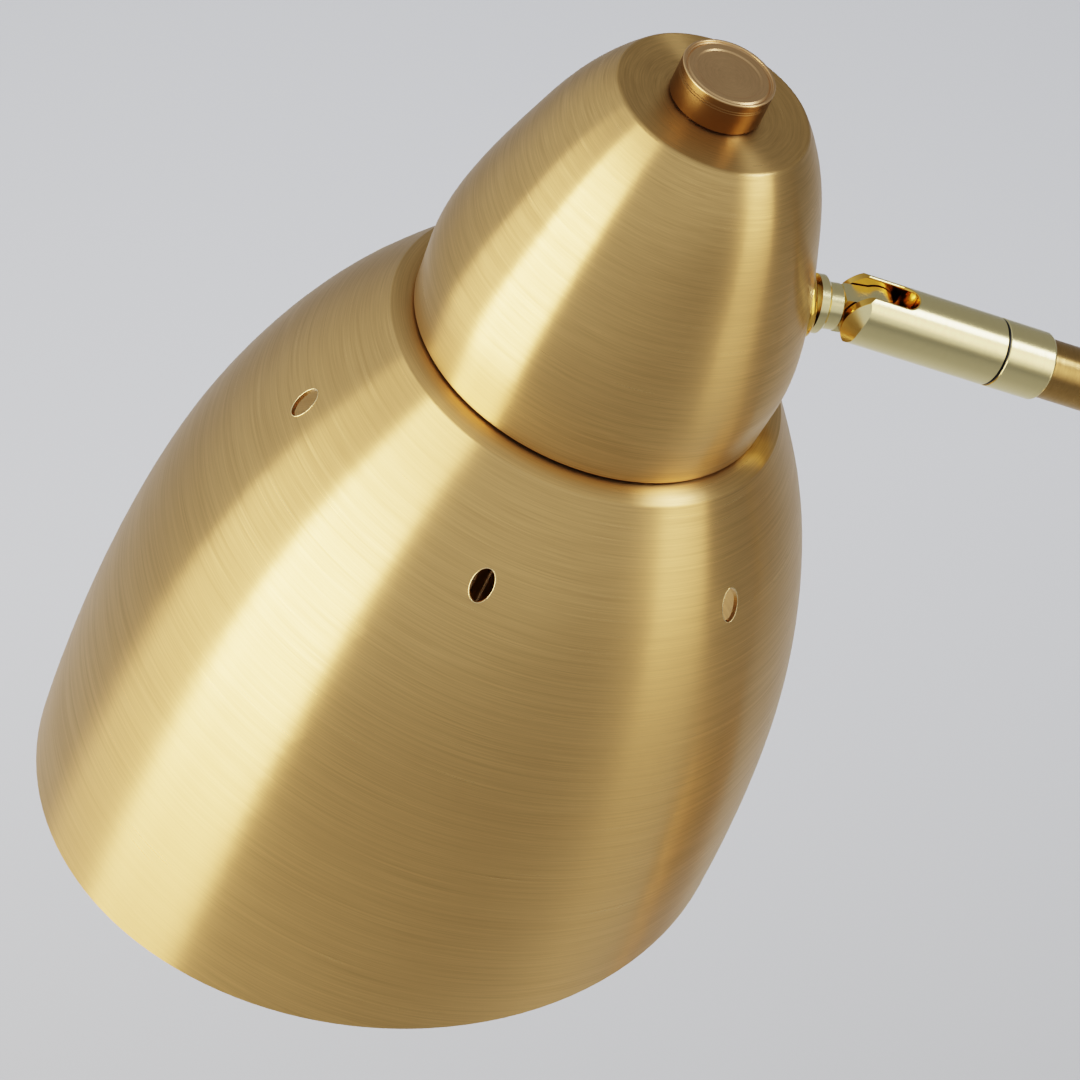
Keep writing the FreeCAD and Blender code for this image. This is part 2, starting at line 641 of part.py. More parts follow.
def cap_face_edges(distance):
    start, middle, side, slope = cap_outline(distance)
    arc = Part.Arc(flat_point(start), flat_point(middle), flat_point(side[0])).toShape()
    return start, [arc, smooth(side, slope)], side[-1]


def filled(distance):
    """Everything inside the cap's outer curve, or inside one that lies distance within it."""
    start, edges, rim = cap_face_edges(distance)
    lid = edges_of([(0, start[1]), start])
    foot = edges_of([rim, (0, rim[1]), (0, start[1])])
    return below_top(spun(lid + edges + foot))


def cap_solid():
    return filled(0)


def cap_hollow():
    return filled(SHEET)


def cap_shell():
    """Spun cap with a flat top, an open rim, and holes for the switch and the stud."""
    hole = SWITCH_BUSH_RADIUS + 0.1
    outer_start, outer_edges, outer_rim = cap_face_edges(0)
    inner_start, inner_edges, inner_rim = cap_face_edges(SHEET)
    edges = edges_of([(hole, inner_start[1]), (hole, outer_start[1]), outer_start]) + outer_edges
    rim_middle = ((outer_rim[0] + inner_rim[0]) / 2, (outer_rim[1] + inner_rim[1]) / 2 - SHEET / 2)
    edges += edges_of([outer_rim, (rim_middle, inner_rim)]) + inner_edges[::-1]
    edges += edges_of([inner_start, (hole, inner_start[1])])
    shell = below_top(spun(Part.__sortEdges__(edges)))
    return shell.cut(along_arm(ring(0, STUD_RADIUS, -25, -10), TILT_PIVOT))


# ---------------------------------------------------------------- shade
def shade_side(distance):
    """Edges from the shade's seat, over its shoulder and down its side, with both end points."""
    centre = (SHOULDER_RADIUS, -SHOULDER_DEPTH - SHOULDER_BEND)
    start, middle, top_end = bend(centre, SHOULDER_BEND - distance, SHOULDER_START, SHOULDER_END)
    turn = math.radians(SHOULDER_END)
    shift = SHOULDER_BEND - CREASE_BEND
    crease = (centre[0] + shift * math.cos(turn), centre[1] + shift * math.sin(turn))
    crease_middle, end = bend(crease, CREASE_BEND - distance, SHOULDER_END, CREASE_END)[1:]
    lean = math.radians(CREASE_END)
    slope = (math.sin(lean), -math.cos(lean))
    side = [bend(crease, CREASE_BEND, SHOULDER_END, CREASE_END)[2]] + [(r, -h) for r, h in SHADE_SIDE]
    if distance > 0:
        side = inward(side, slope, distance)
        side[0] = end
    seat = (SHADE_SEAT_RADIUS, -SHADE_SEAT - distance)
    edges = edges_of([seat, start, (middle, top_end), (crease_middle, end)]) + [smooth(side, slope)]
    return seat, edges, side[-1]


def shade_shell():
    """Spun shade with a dished shoulder, vents and an oblique rim."""
    outer_seat, outer_edges, outer_end = shade_side(0)
    inner_seat, inner_edges, inner_end = shade_side(SHEET)
    edges = edges_of([(SHADE_HOLE, inner_seat[1]), (SHADE_HOLE, outer_seat[1]), outer_seat]) + outer_edges
    edges += edges_of([outer_end, inner_end]) + inner_edges[::-1]
    edges += edges_of([inner_seat, (SHADE_HOLE, inner_seat[1])])
    shell = spun(Part.__sortEdges__(edges))
    waste = block((-120, -120, -120), (120, 120, 0))
    waste.rotate(ORIGIN, Y_AXIS, -math.degrees(math.atan2(RIM_RISE, RIM_RADIUS)))
    waste.translate(FreeCAD.Vector(0, 0, -RIM_DEPTH))
    shell = shell.cut(waste)
    for vent in vents():
        shell = shell.cut(vent)
    return below_top(shell)


def vents():
    """Oval cutters, long down the wall and square to it."""
    cutters = []
    for i in range(VENT_COUNT):
        oval = Part.Ellipse(ORIGIN, VENT_HEIGHT / 2, VENT_WIDTH / 2).toShape()
        cutter = Part.Face(Part.Wire([oval])).extrude(FreeCAD.Vector(0, 0, 12))
        cutter.translate(FreeCAD.Vector(0, 0, -6))
        cutter.rotate(ORIGIN, Y_AXIS, 90 - VENT_LEAN)
        cutter.translate(FreeCAD.Vector(VENT_RADIUS, 0, -VENT_DEPTH))
        cutter.rotate(ORIGIN, Z_AXIS, VENT_START + 360 / VENT_COUNT * i)
        cutters.append(cutter)
    return cutters


# ---------------------------------------------------------------- lamp holder and bulb
def holder_nipple():
    return below_top(ring(NIPPLE_BORE, NIPPLE_RADIUS, -HOLDER_TOP - 4, -HOLDER_TOP + 8))


def nipple_nut():
    low = -HOLDER_TOP + BRACKET_SHEET
    return below_top(hexagon(14.0, low, low + 4.0, NIPPLE_RADIUS))


def holder_housing():
    """Upper housing of the lamp holder, closed at the top, with the flange that carries the shade."""
    wall = 2.0
    top = -HOLDER_TOP
    flange = -SHADE_SEAT
    return below_top(turned([
        (NIPPLE_RADIUS, top), (HOLDER_RADIUS - 4, top),
        ((HOLDER_RADIUS - 1.2, top - 1.2), (HOLDER_RADIUS, top - 4)), (HOLDER_RADIUS, flange + 2.4),
        (FLANGE_REACH, flange + 2.4), (FLANGE_REACH, flange), (HOLDER_RADIUS - wall, flange),
        (HOLDER_RADIUS - wall, top - 4), (NIPPLE_RADIUS, top - 4)]))


def holder_sleeve():
    """Threaded lower sleeve of the lamp holder."""
    rows = []
    start = -SHADE_SEAT - 6
    for i in range(6):
        z = start - THREAD_PITCH * i
        rows += [(HOLDER_RADIUS, z), (HOLDER_RADIUS - 0.6, z - THREAD_PITCH / 2)]
    inset = HOLDER_RADIUS - 2.01
    outline = [(inset, -SHADE_SEAT + 10), (inset, -SHADE_SEAT), (HOLDER_RADIUS, -SHADE_SEAT)]
    outline += rows + [(HOLDER_RADIUS - 0.6, -HOLDER_MOUTH), (15.6, -HOLDER_MOUTH), (15.6, -SHADE_SEAT + 10)]
    return below_top(turned(outline))


def shade_ring():
    """Threaded ring that clamps the shade against the holder's flange."""
    low = -SHADE_SEAT - SHEET
    outer = FLANGE_REACH + 1.5
    return below_top(turned([(HOLDER_RADIUS, low), (outer, low), (outer, low - 2.5),
                             (outer - 1.5, low - 4.0), (HOLDER_RADIUS, low - 4.0)]))


def holder_core():
    """Insulating core that carries the screw shell and the contact."""
    mouth = -HOLDER_MOUTH + 2
    return below_top(turned([(0, -CORE_TOP), (17.5, -CORE_TOP), (17.5, -SCREW_TOP), (15.4, -SCREW_TOP),
                             (15.4, mouth), (14.4, mouth), (14.4, -SCREW_TOP), (3.0, -SCREW_TOP),
                             (3.0, -CORE_FLOOR), (0, -CORE_FLOOR)]))


def screw_shell():
    return below_top(ring(13.6, 14.3, -HOLDER_MOUTH + 4, -SCREW_TOP - 0.2))


def centre_contact():
    tip = -CORE_FLOOR - 6.6
    return below_top(turned([(0, -CORE_FLOOR), (2.6, -CORE_FLOOR), (2.6, tip + 1.0), (1.6, tip), (0, tip)]))


def bulb_base():
    """Screw base of the bulb, a hollow cap with rounded thread crests."""
    crest = 13.4
    root = 12.6
    pitch = 3.6
    z = -79.5
    outline = [(0, -75.0), (4.5, -75.0), (4.5, -76.5), (9.0, -78.0), (root, z)]
    for _ in range(5):
        outline.append(((crest, z - pitch / 2), (root, z - pitch)))
        z -= pitch
    outline += [(BULB_NECK, -99.0), (BULB_NECK, BULB_JOINT), (root - 0.7, BULB_JOINT), (root - 0.7, -80.0),
                (0, -80.0)]
    return below_top(turned(outline))


def bulb_globe():
    """Glass envelope: a neck that swells into a round globe."""
    out_start, out_edges, out_end = globe_skin(0)
    in_start, in_edges, in_end = globe_skin(BULB_GLASS)
    edges = out_edges + edges_of([out_end, in_end]) + in_edges + edges_of([in_start, out_start])
    return below_top(spun(Part.__sortEdges__(edges)))


def globe_skin(distance):
    """The globe's outer line, or one inside it by distance: its lowest point, edges and neck end."""
    start, middle, end = bend((0, -BULB_CENTRE), BULB_RADIUS - distance, -90, BULB_NECK_TURN)
    turn = math.radians(BULB_NECK_TURN)
    neck_end = (BULB_NECK - distance, BULB_JOINT)
    neck_points = [end, (BULB_NECK + 3.0 - distance, BULB_JOINT - 13.0), neck_end]
    neck = smooth(neck_points, (-math.sin(turn), math.cos(turn)))
    ball = Part.Arc(flat_point(start), flat_point(middle), flat_point(end)).toShape()
    return start, [ball, neck], neck_end


def bulb_mount():
    """Stem and the upright light strips inside the globe."""
    flare = BULB_NECK - BULB_GLASS
    foot = -134.0
    reach = 4.2
    solid = turned([(0, BULB_JOINT), (flare, BULB_JOINT), (flare - 0.2, BULB_JOINT - 1.5),
                    (3.0, BULB_JOINT - 9.0), (2.0, foot), (0, foot)])
    for i in range(STRIP_COUNT):
        strip = Part.makeCylinder(1.1, STRIP_LENGTH, FreeCAD.Vector(reach, 0, foot - STRIP_LENGTH + 1))
        strip = strip.fuse(block((0, -0.5, foot), (reach, 0.5, foot + 1)))
        strip.rotate(ORIGIN, Z_AXIS, 45 + 360 / STRIP_COUNT * i)
        solid = solid.fuse(strip)
    return below_top(solid)


# ---------------------------------------------------------------- switch and knob
def switch_body():
    """Rotary switch under the cap's top, with two contact tabs."""
    socket = -SWITCH_TOP - 1.5
    case = turned([(0, -SWITCH_BOTTOM), (SWITCH_RADIUS, -SWITCH_BOTTOM), (SWITCH_RADIUS, -SWITCH_TOP),
                   (SWITCH_BUSH_RADIUS, -SWITCH_TOP), (SWITCH_BUSH_RADIUS, socket), (0, socket)])
    foot = -SWITCH_BOTTOM
    for middle in (-5, 5):
        case = case.fuse(block((middle - 2, -0.4, foot - 4), (middle + 2, 0.4, foot)))
    return below_top(case)


def switch_bush():
    """Threaded bush that passes through the cap."""
    return below_top(ring(SHAFT_RADIUS + RUNNING, SWITCH_BUSH_RADIUS, -SWITCH_TOP - 1.5, -6.2))


def switch_washer():
    return below_top(ring(SWITCH_BUSH_RADIUS, 8.5, -CAP_TOP - SHEET - 0.6, -CAP_TOP - SHEET))


def switch_nut():
    """Round nut on the cap's top, hidden in the knob."""
    return below_top(ring(SWITCH_BUSH_RADIUS, 7.4, -CAP_TOP, -CAP_TOP + 2.2))


def switch_knob():
    """Turned knob: beaded top edge, shallow rings in the top, two fine grooves and a hollow foot."""
    bead = 0.35
    bead_start, bead_top, bead_end = bend((KNOB_RADIUS - bead, -bead), bead, 180, 0)
    outline = [(0, -0.55), (6.9, -0.55), (7.3, -0.35), (8.6, -0.25), (9.0, -0.5), bead_start,
               (bead_top, bead_end)]
    rim = KNOB_RADIUS
    cut = KNOB_GROOVE_DEPTH
    for groove in KNOB_GROOVES:
        outline += [(rim, -groove), (rim - cut, -groove - cut), (rim, -groove - 2 * cut)]
    outline += [(rim, -KNOB_DEPTH + 0.3), (rim - 0.3, -KNOB_DEPTH), (KNOB_HOLLOW, -KNOB_DEPTH),
                (KNOB_HOLLOW, -KNOB_HUB), (SHAFT_RADIUS, -KNOB_HUB), (SHAFT_RADIUS, -SHAFT_TOP),
                (0, -SHAFT_TOP)]
    return below_top(turned(outline))


def switch_shaft():
    return below_top(ring(0, SHAFT_RADIUS, -SWITCH_TOP - 1.0, -SHAFT_TOP))


# ---------------------------------------------------------------- bodies and export
def at_lift(shape):
    """Raises an arm part to the rest pose."""
    shape.rotate(LIFT_PIVOT, Y_AXIS, ARM_LIFT)
    return shape


def at_roll(shape):
    """Turns a fork part about the arm, then raises it."""
    shape.rotate(TILT_PIVOT, X_AXIS, HEAD_ROLL)
    return at_lift(shape)


def at_tilt(shape):
    """Tilts a head part in the fork, then takes it with the fork."""
    shape.rotate(TILT_PIVOT, Y_AXIS, HEAD_TILT)
    return at_roll(shape)


def as_drawn(shape):
    return shape


BODIES = [
    (as_drawn, [felt_pad, base_plate, base_screws, base_weight, base_cover, cable_grommet, weight_washer,
                weight_nut, column_nipple, column_flange, column_tube, column_plug, column_bush,
                swing_washer]),
    (as_drawn, [column_yoke, spigot_clip, lift_pin, lift_nut, lift_washers]),
    (at_lift, [arm_knuckle, arm_tube, arm_collar, seam_washer]),
    (at_roll, [head_fork, tilt_pin, roll_spindle, roll_washer, roll_nut]),
    (at_tilt, [hinge_stub, saddle_washer, inner_saddle, stud_nut, holder_bracket, cap_shell, shade_shell,
               holder_nipple, nipple_nut, holder_housing, holder_sleeve, shade_ring, holder_core,
               screw_shell, centre_contact, bulb_base, bulb_globe, bulb_mount, switch_body, switch_bush,
               switch_washer, switch_nut, switch_knob, switch_shaft]),
]


def main():
    os.makedirs("parts", exist_ok=True)
    for place, makers in BODIES:
        for make in makers:
            shape = place(make())
            if not shape.isValid() or not shape.Solids:
                print("check the shape of", make.__name__)
            shape.exportStep("parts/" + make.__name__ + ".step")
            print(f"{make.__name__:16s} solids {len(shape.Solids)}  volume {shape.Volume:10.1f} mm3")


main()
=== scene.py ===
"""Swing arm desk lamp: the finish of its parts, its floor and its light. Metres, +Z up."""
import json
import math

import bpy
from mathutils import Matrix, Vector
from mathutils.bvhtree import BVHTree


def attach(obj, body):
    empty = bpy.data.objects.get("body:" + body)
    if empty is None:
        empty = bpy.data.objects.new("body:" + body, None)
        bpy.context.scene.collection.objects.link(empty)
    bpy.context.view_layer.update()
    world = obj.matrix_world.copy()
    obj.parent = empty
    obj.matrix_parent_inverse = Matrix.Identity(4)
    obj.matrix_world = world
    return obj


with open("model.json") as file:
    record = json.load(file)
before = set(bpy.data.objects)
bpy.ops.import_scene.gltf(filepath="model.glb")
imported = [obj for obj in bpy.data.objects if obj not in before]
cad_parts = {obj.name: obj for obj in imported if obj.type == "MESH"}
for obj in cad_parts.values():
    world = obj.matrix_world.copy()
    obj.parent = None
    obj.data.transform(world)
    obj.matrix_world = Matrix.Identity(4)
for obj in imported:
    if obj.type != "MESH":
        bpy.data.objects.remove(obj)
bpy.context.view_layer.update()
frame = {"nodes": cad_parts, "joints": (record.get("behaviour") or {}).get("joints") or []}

MM = 0.001

# ---- places and axes, from the frame's joints ----
JOINTS = {joint["name"]: joint for joint in frame["joints"]}
KNOB_TOP = Vector(JOINTS["knob_turn"]["pos_m"])
SHADE_AXIS = -Vector(JOINTS["knob_turn"]["axis"]).normalized()
TILT_PIVOT = Vector(JOINTS["head_tilt"]["pos_m"])
PIN_AXIS = Vector(JOINTS["head_tilt"]["axis"]).normalized()
ARM_AXIS = Vector(JOINTS["head_roll"]["axis"]).normalized()
STUB_AXIS = PIN_AXIS.cross(SHADE_AXIS).normalized()
SIDE_AXIS = SHADE_AXIS.cross(STUB_AXIS).normalized()

# Each pair is a point on an axis and the axis's direction.
ABOUT_SHADE = (KNOB_TOP, SHADE_AXIS)
ABOUT_STUB = (TILT_PIVOT, STUB_AXIS)
ABOUT_PIN = (TILT_PIVOT, PIN_AXIS)
ABOUT_ARM = (TILT_PIVOT, ARM_AXIS)
ABOUT_COLUMN = (Vector((0, 0, 0)), Vector((0, 0, 1)))

# ---- camera: places are from the knob's top, along the camera's own directions ----
CAMERA_AZIMUTH = -12.7
CAMERA_ELEVATION = 38.1
CAMERA_LENS = 200.0
CAMERA_RIGHT_OF_KNOB = -38.1 * MM
CAMERA_ABOVE_KNOB = -93.8 * MM
CAMERA_DISTANCE = 1203.3 * MM

# ---- colours ----
BRASS = (0.71, 0.465, 0.21)
PALE_BRASS = (0.90, 0.78, 0.44)
BRIGHT_BRASS = (0.92, 0.74, 0.44)
CONTACT_BRASS = (0.72, 0.52, 0.22)
GOLD = (0.85, 0.52, 0.14)
ANTIQUE = (0.46, 0.30, 0.13)
BRONZE = (0.74, 0.49, 0.27)
# Painted shade for the knob's side.
SHADED_BRONZE = (0.26, 0.155, 0.068)
ZINC = (0.56, 0.56, 0.57)
NICKEL = (0.68, 0.68, 0.69)
IRON = (0.10, 0.10, 0.105)
BLACK = (0.012, 0.012, 0.013)
RUBBER_BLACK = (0.018, 0.018, 0.018)
PAINT_BLACK = (0.02, 0.02, 0.021)
FELT_BLACK = (0.022, 0.022, 0.024)
CERAMIC_WHITE = (0.78, 0.77, 0.72)
AMBER = (0.36, 0.28, 0.19)
STRIP_YELLOW = (0.95, 0.72, 0.22)


def add_camera():
    azimuth = math.radians(CAMERA_AZIMUTH)
    elevation = math.radians(CAMERA_ELEVATION)
    right = Vector((math.cos(azimuth), math.sin(azimuth), 0))
    back = Vector((math.sin(azimuth) * math.cos(elevation), -math.cos(azimuth) * math.cos(elevation),
                   math.sin(elevation)))
    up = back.cross(right)
    place = KNOB_TOP + right * CAMERA_RIGHT_OF_KNOB + up * CAMERA_ABOVE_KNOB + back * CAMERA_DISTANCE
    turn = Matrix((right, up, back)).transposed()
    data = bpy.data.cameras.new("camera")
    data.lens = CAMERA_LENS
    camera = bpy.data.objects.new("camera", data)
    camera.matrix_world = Matrix.Translation(place) @ turn.to_4x4()
    bpy.context.scene.collection.objects.link(camera)
    bpy.context.scene.camera = camera


# ---------------------------------------------------------------- material helpers
FINE_DETAIL = 3.0
SLOW_DETAIL = 2.0


class Nodes:
    """A short way to wire a material's node tree."""

    def __init__(self, material):
        self.material = material
        self.tree = material.node_tree
        self.shader = self.tree.nodes["Principled BSDF"]

    def add(self, kind, **settings):
        node = self.tree.nodes.new(kind)
        for key, value in settings.items():
            setattr(node, key, value)
        return node

    def put(self, value, socket):
        """Links an output to a socket, or sets a plain value on it."""
        if isinstance(value, bpy.types.NodeSocket):
            self.tree.links.new(value, socket)
        else:
            socket.default_value = value

    def dress(self, **sockets):
        """Puts outputs or plain values on the shader's sockets. An underscore stands for a space."""
        for name, value in sockets.items():
            self.put(value, self.shader.inputs[name.replace("_", " ")])

    def carried(self, name):
        """What a socket of the shader has so far: the output linked to it, or its plain value."""
        socket = self.shader.inputs[name]
        return socket.links[0].from_socket if socket.is_linked else socket.default_value

    def maths(self, operation, a, b=0.0):
        node = self.add("ShaderNodeMath", operation=operation)
        self.put(a, node.inputs[0])
        self.put(b, node.inputs[1])
        return node.outputs[0]

    def vector(self, operation, a, b=(0, 0, 0)):
        node = self.add("ShaderNodeVectorMath", operation=operation)
        self.put(a, node.inputs[0])
        self.put(b, node.inputs[1])
        return node.outputs["Value" if operation == "LENGTH" else "Vector"]

    def combine(self, x, y, z):
        node = self.add("ShaderNodeCombineXYZ")
        for value, socket in zip((x, y, z), node.inputs):
            self.put(value, socket)
        return node.outputs[0]

    def noise(self, vector, scale, detail=SLOW_DETAIL):
        node = self.add("ShaderNodeTexNoise")
        self.put(vector, node.inputs["Vector"])
        node.inputs["Scale"].default_value = scale
        node.inputs["Detail"].default_value = detail
        return node.outputs["Fac"]

    def span(self, value, low, high, out_low, out_high):
        """Turns the range low to high into out_low to out_high, and keeps within it."""
        node = self.add("ShaderNodeMapRange")
        for item, socket in zip((value, low, high, out_low, out_high), node.inputs):
            self.put(item, socket)
        return node.outputs[0]

    def blend(self, factor, first, second):
        """The first colour where the factor is 0, the second where it is 1."""
        # A mix of colours has them in inputs 6 and 7, and its result in output 2.
        node = self.add("ShaderNodeMix", data_type="RGBA")
        self.put(factor, node.inputs["Factor"])
        self.put(first, node.inputs[6])
        self.put(second, node.inputs[7])
        return node.outputs[2]

    def bump(self, height, distance):
        node = self.add("ShaderNodeBump")
        node.inputs["Distance"].default_value = distance
        self.put(height, node.inputs["Height"])
        self.dress(Normal=node.outputs[0])

    def place(self):
        """The piece's own coordinates, in metres."""
        return self.add("ShaderNodeTexCoord").outputs["Object"]

    def parts(self, vector):
        """The x, y and z of a vector."""
        node = self.add("ShaderNodeSeparateXYZ")
        self.put(vector, node.inputs[0])
        return node.outputs

    def about_axis(self, origin, axis):
        """Coordinates turned so that the axis is Z and the origin is on it."""
        node = self.add("ShaderNodeMapping", vector_type="TEXTURE")
        self.put(self.place(), node.inputs["Vector"])
        node.inputs["Location"].default_value = origin
        node.inputs["Rotation"].default_value = axis.to_track_quat("Z", "Y").to_euler()
        return node.outputs[0]

    def off_axis(self, vector):
        """How far a place is from the Z axis."""
        x, y, _ = self.parts(vector)
        return self.vector("LENGTH", self.combine(x, y, 0.0))


def new_nodes(name):
    material = bpy.data.materials.new(name)
    material.use_nodes = True
    return Nodes(material)


def shade_of(colour, factor):
    return (*[min(1.0, channel * factor) for channel in colour], 1.0)


# ---------------------------------------------------------------- turned metal
# Lines are counted by their length in radians and their width, and clouds by their number per metre.
FINE_LENGTH = 0.3
FINE_SHARE = 0.6
BROAD_LENGTH = 1.1
BROAD_SHARE = 0.4
BROAD_TO_FINE_WIDTH = 3.5
LINE_RANGE = (0.32, 0.68)
CLOUD_SCALE = 18.0
CLOUD_RANGE = (0.3, 0.7)
CLOUD_BRIGHTNESS = 0.9
CLOUD_SHARE = 0.35
ROUGHNESS_SWING = 0.12
QUARTER_TURN = 0.25
COAT_ROUGHNESS = 0.05


def line_noise(nodes, around, profile, length, width, detail):
    """Noise drawn out around an axis, so that it makes lines."""
    x, y, _ = nodes.parts(around)
    along_x = nodes.maths("MULTIPLY", x, 1.0 / length)
    along_y = nodes.maths("MULTIPLY", y, 1.0 / length)
    across = nodes.maths("MULTIPLY", profile, 1.0 / width)
    return nodes.noise(nodes.combine(along_x, along_y, across), 1.0, detail)


def round_tangent(nodes, origin, axis):
    """The direction round the axis, in which the metal was turned."""
    outward = nodes.vector("SUBTRACT", nodes.place(), tuple(origin))
    tangent = nodes.vector("CROSS_PRODUCT", tuple(axis), outward)
    turn = nodes.add("ShaderNodeVectorTransform", vector_type="VECTOR", convert_from="OBJECT",
                     convert_to="WORLD")
    nodes.put(tangent, turn.inputs[0])
    return nodes.vector("NORMALIZE", turn.outputs[0])


def turned_metal(name, colour, about, roughness, stretch, line_width, contrast, coat=0.0, depth_mm=0.004):
    """Metal turned about an axis: fine lines that run round it, and highlights stretched across them."""
    nodes = new_nodes(name)
    local = nodes.about_axis(*about)
    x, y, z = nodes.parts(local)
    flat = nodes.combine(x, y, 0.0)
    around = nodes.vector("NORMALIZE", flat)
    profile = nodes.maths("SUBTRACT", z, nodes.vector("LENGTH", flat))
    broad_width = line_width * BROAD_TO_FINE_WIDTH
    fine = line_noise(nodes, around, profile, FINE_LENGTH, line_width, FINE_DETAIL)
    broad = line_noise(nodes, around, profile, BROAD_LENGTH, broad_width, SLOW_DETAIL)
    lines = nodes.maths("ADD", nodes.maths("MULTIPLY", fine, FINE_SHARE),
                        nodes.maths("MULTIPLY", broad, BROAD_SHARE))
    tone = nodes.span(lines, *LINE_RANGE, 0.0, 1.0)
    base = nodes.blend(tone, shade_of(colour, 1.0 - contrast), shade_of(colour, 1.0 + contrast))
    cloud = nodes.span(nodes.noise(local, CLOUD_SCALE), *CLOUD_RANGE, 0.0, CLOUD_SHARE)
    rougher = roughness * (1 + ROUGHNESS_SWING)
    smoother = roughness * (1 - ROUGHNESS_SWING)
    nodes.bump(fine, depth_mm * MM)
    nodes.dress(
        Base_Color=nodes.blend(cloud, base, shade_of(colour, CLOUD_BRIGHTNESS)),
        Roughness=nodes.span(tone, 0.0, 1.0, rougher, smoother),
        Metallic=1.0,
        Anisotropic=stretch,
        Anisotropic_Rotation=QUARTER_TURN,
        Tangent=round_tangent(nodes, *about),
        Coat_Weight=coat,
        Coat_Roughness=COAT_ROUGHNESS)
    return nodes.material


# ---- where the fork is polished, in gold that is partly a painted reflection of the shade: the limits lie just off its faces ----
INSIDE_BARREL_SKIN = 7.4 * MM
ROUNDED_END = 7.42 * MM
SLOT_HALF_WIDTH = 3.1 * MM
POLISHED_ROUGHNESS = 0.12


def polish_inside_and_paint_reflection(material, polish_and_reflection_colour):
    """Polishes the fork's slot and its rounded ends in gold, partly a painted reflection of the shade, and
    leaves the barrel's outer skin as it is.
    """
    nodes = Nodes(material)
    about_arm = nodes.about_axis(*ABOUT_ARM)
    about_pin = nodes.about_axis(*ABOUT_PIN)
    under_skin = nodes.maths("LESS_THAN", nodes.off_axis(about_arm), INSIDE_BARREL_SKIN)
    rounded = nodes.maths("GREATER_THAN", nodes.off_axis(about_pin), ROUNDED_END)
    along_pin = nodes.maths("ABSOLUTE", nodes.parts(about_pin)[2])
    slot = nodes.maths("LESS_THAN", along_pin, SLOT_HALF_WIDTH)
    inside = nodes.maths("MULTIPLY", under_skin, nodes.maths("MAXIMUM", rounded, slot))
    nodes.dress(
        Base_Color=nodes.blend(inside, nodes.carried("Base Color"), (*polish_and_reflection_colour, 1.0)),
        Roughness=nodes.span(inside, 0.0, 1.0, nodes.carried("Roughness"), POLISHED_ROUGHNESS),
        Anisotropic=nodes.span(inside, 0.0, 1.0, nodes.carried("Anisotropic"), 0.0))


# ---- painted shade on the knob's side: below its top edge, and further out than its top face ----
KNOB_SIDE_TOP = -0.5 * MM
KNOB_SIDE_FADE = 0.3 * MM
KNOB_FACE_RADIUS = 9.4 * MM


def paint_knob_side_shade(material, side_shade_colour):
    """Paints shade on the knob's side: a darker colour below its rounded top edge."""
    nodes = Nodes(material)
    local = nodes.about_axis(*ABOUT_SHADE)
    height = nodes.parts(local)[2]
    below = nodes.span(height, KNOB_SIDE_TOP, KNOB_SIDE_TOP + KNOB_SIDE_FADE, 1.0, 0.0)
    outside = nodes.maths("GREATER_THAN", nodes.off_axis(local), KNOB_FACE_RADIUS)
    side = nodes.maths("MULTIPLY", below, outside)
    nodes.dress(Base_Color=nodes.blend(side, nodes.carried("Base Color"), (*side_shade_colour, 1.0)))


# ---------------------------------------------------------------- other finishes
GRAIN_TO_SLOW = 14
MOTTLE_RANGE = (0.3, 0.7)
MOTTLE_ROUGHNESS_SWING = 0.15


def mottled(name, colour, roughness, grain, contrast, bump_mm, **sockets):
    """An even finish with fine grain, counted per metre, and slow variation."""
    nodes = new_nodes(name)
    local = nodes.place()
    fine = nodes.noise(local, grain, FINE_DETAIL)
    slow = nodes.noise(local, grain / GRAIN_TO_SLOW)
    mean = nodes.maths("MULTIPLY", nodes.maths("ADD", fine, slow), 0.5)
    tone = nodes.span(mean, *MOTTLE_RANGE, 0.0, 1.0)
    smoother = roughness * (1 - MOTTLE_ROUGHNESS_SWING)
    rougher = roughness * (1 + MOTTLE_ROUGHNESS_SWING)
    nodes.bump(fine, bump_mm * MM)
    nodes.dress(
        Base_Color=nodes.blend(tone, shade_of(colour, 1 - contrast), shade_of(colour, 1 + contrast)),
        Roughness=nodes.span(slow, *MOTTLE_RANGE, smoother, rougher),
        **sockets)
    return nodes.material


def hinge_metal(name):
    """The pale, almost smooth brass of the hinge barrel and the collar."""
    return turned_metal(name, PALE_BRASS, ABOUT_ARM, roughness=0.22, stretch=0.3, line_width=0.3 * MM,
                        contrast=0.03, depth_mm=0.0005)


def antique_metal(name, about):
    """The darker brass of the arm tube and the column."""
    return turned_metal(name, ANTIQUE, about, roughness=0.30, stretch=0.6, line_width=0.35 * MM,
                        contrast=0.10)


shade_brass = turned_metal("shade_brass", BRASS, ABOUT_SHADE, roughness=0.31, stretch=0.95,
                           line_width=0.24 * MM, contrast=0.16, coat=0.06)
knob_brass = turned_metal("knob_brass", BRONZE, ABOUT_SHADE, roughness=0.34, stretch=0.3,
                          line_width=0.22 * MM, contrast=0.10)
# The knob's side is darker: painted shade.
paint_knob_side_shade(knob_brass, SHADED_BRONZE)
barrel_brass = hinge_metal("barrel_brass")
fork_brass = hinge_metal("fork_brass")
